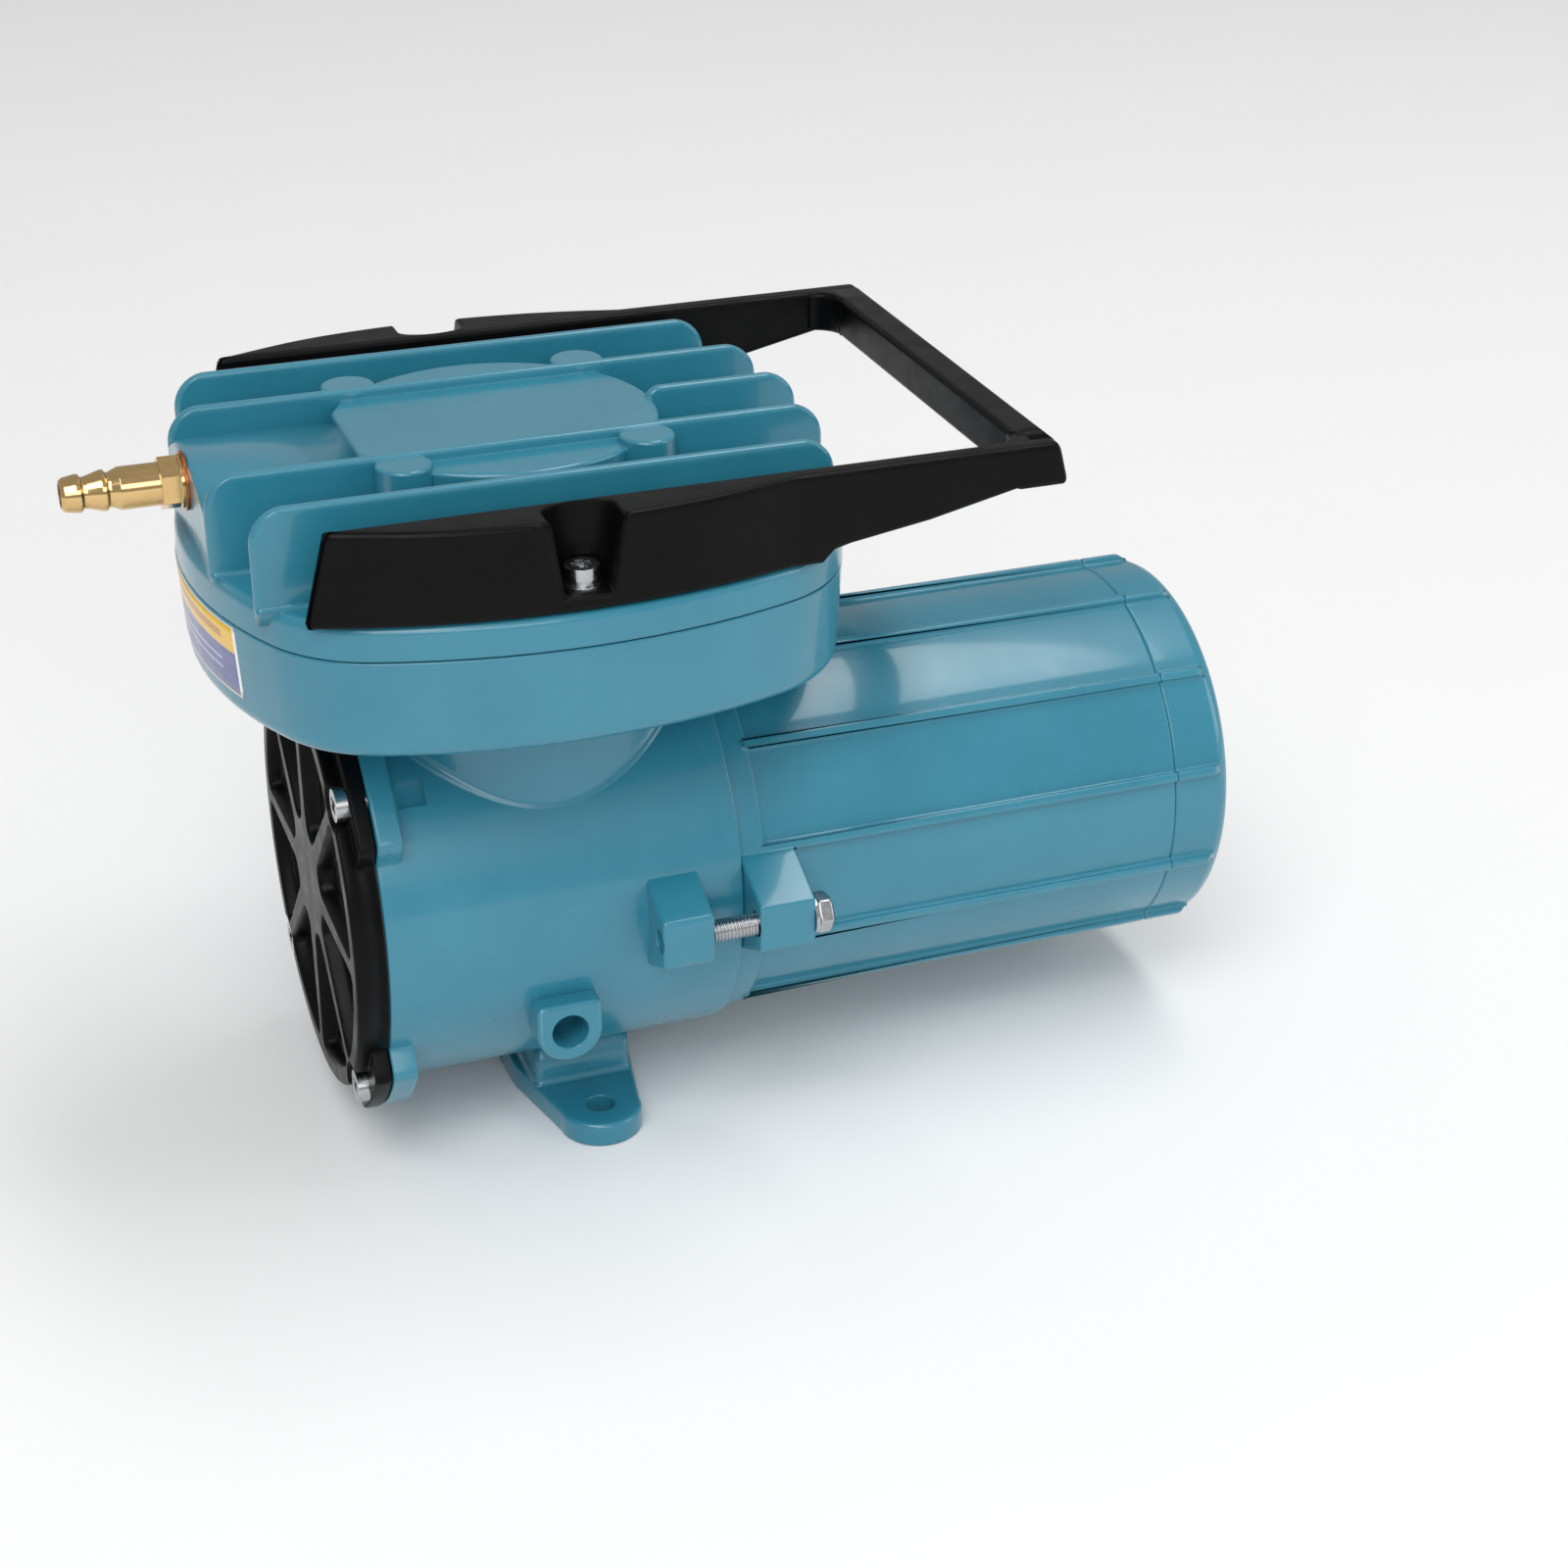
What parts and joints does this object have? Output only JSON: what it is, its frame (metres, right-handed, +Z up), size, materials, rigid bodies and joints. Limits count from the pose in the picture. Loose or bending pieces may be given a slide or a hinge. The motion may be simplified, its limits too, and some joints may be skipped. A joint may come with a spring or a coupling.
{
  "type": "piston air pump",
  "caption": "Motor-driven piston air pump with a finned oval head, a brass hose barb, a carrying handle, a ribbed motor and screw-down feet.",
  "frame": {"origin": "midway between the two foot holes, on the mounting plane under the feet", "axes": "+X along the motor shaft towards the motor's tail, +Z up, the outlet barb points to -X"},
  "size_m": [0.254, 0.131, 0.1625],
  "materials": {
    "teal_enamel": "gloss teal enamel on die-cast aluminium",
    "black_plastic": "semi-matt moulded plastic",
    "black_rubber": "matt",
    "zinc_steel": "bright zinc plate",
    "plain_steel": "ground steel",
    "bare_aluminium": "as cast",
    "seal_plastic": "filled fluoropolymer",
    "ferrite": "sintered ferrite",
    "laminated_iron": "stacked laminations",
    "copper": "enamelled and bare copper",
    "polished_brass": "polished",
    "brown_phenolic": "pressed laminate",
    "carbon": "graphite",
    "label_film": "printed film with plain bands, no text"
  },
  "bodies": {
    "pump_body": {"crankcase": "teal_enamel", "lower_pan": "teal_enamel", "head_cover": "teal_enamel", "motor_housing": "teal_enamel", "motor_end_cap": "teal_enamel", "end_cover": "black_plastic", "handle": "black_plastic", "end_cover_gasket": "black_rubber", "head_gasket": "black_rubber", "valve_gasket": "black_rubber", "cable_grommet": "black_rubber", "end_cover_screws": "zinc_steel", "pan_screws": "zinc_steel", "head_screws": "zinc_steel", "rim_screws": "zinc_steel", "handle_flat_washers": "zinc_steel", "handle_spring_washers": "zinc_steel", "handle_screws": "zinc_steel", "tie_washers": "zinc_steel", "tie_bolts": "zinc_steel", "end_cap_screws": "zinc_steel", "exhaust_reed_screw": "zinc_steel", "cylinder_liner": "plain_steel", "valve_plate": "plain_steel", "front_bearing": "plain_steel", "rear_bearing": "plain_steel", "bearing_wave_washer": "plain_steel", "flux_ring": "plain_steel", "upper_brush_spring": "plain_steel", "lower_brush_spring": "plain_steel", "upper_magnet": "ferrite", "lower_magnet": "ferrite", "barb_washer": "copper", "outlet_barb": "polished_brass", "upper_brush_holder": "polished_brass", "lower_brush_holder": "polished_brass", "brush_plate": "brown_phenolic", "nameplate": "label_film"},
    "rotor": {"motor_shaft": "plain_steel", "armature_core": "laminated_iron", "armature_windings": "copper", "commutator": "copper", "crank_weight": "plain_steel", "crank_set_screw": "zinc_steel", "crank_pin_washer": "zinc_steel", "crank_pin_screw": "zinc_steel"},
    "piston_rod": {"connecting_rod": "bare_aluminium", "rod_bearing": "plain_steel", "piston_seal": "seal_plastic", "piston_cap": "plain_steel", "piston_cap_screws": "zinc_steel", "intake_reed_screw": "zinc_steel"},
    "intake_flap": {"intake_reed": "plain_steel"},
    "exhaust_flap": {"exhaust_reed": "plain_steel"},
    "upper_carbon": {"upper_brush": "carbon"},
    "lower_carbon": {"lower_brush": "carbon"}
  },
  "joints": [
    {"name": "rotor_spin", "type": "hinge", "parent": "pump_body", "child": "rotor", "pos_m": [-0.0085, 0, 0.0575], "axis": [1, 0, 0], "continuous": true},
    {"name": "rod_swing", "type": "hinge", "parent": "rotor", "child": "piston_rod", "pos_m": [-0.0085, 0, 0.0545], "axis": [1, 0, 0], "continuous": true},
    {"name": "intake_reed_lift", "type": "hinge", "parent": "piston_rod", "child": "intake_flap", "pos_m": [-0.0215, 0, 0.12152], "axis": [0, -1, 0], "range_deg": [0, 6], "stiffness_Nm_per_rad": 0.02},
    {"name": "exhaust_reed_lift", "type": "hinge", "parent": "pump_body", "child": "exhaust_flap", "pos_m": [-0.0215, 0, 0.13382], "axis": [0, -1, 0], "range_deg": [0, 8], "stiffness_Nm_per_rad": 0.02},
    {"name": "upper_brush_slide", "type": "slide", "parent": "pump_body", "child": "upper_carbon", "axis": [0, 0, 1], "range_m": [0, 0.003], "stiffness_N_per_m": 120, "springref_m": -0.004, "deforming": ["upper_brush_spring"]},
    {"name": "lower_brush_slide", "type": "slide", "parent": "pump_body", "child": "lower_carbon", "axis": [0, 0, -1], "range_m": [0, 0.003], "stiffness_N_per_m": 120, "springref_m": -0.004, "deforming": ["lower_brush_spring"]}
  ],
  "couplings": [
    {"joint": "rod_swing", "follows": "rotor_spin", "ratio": -1}
  ]
}
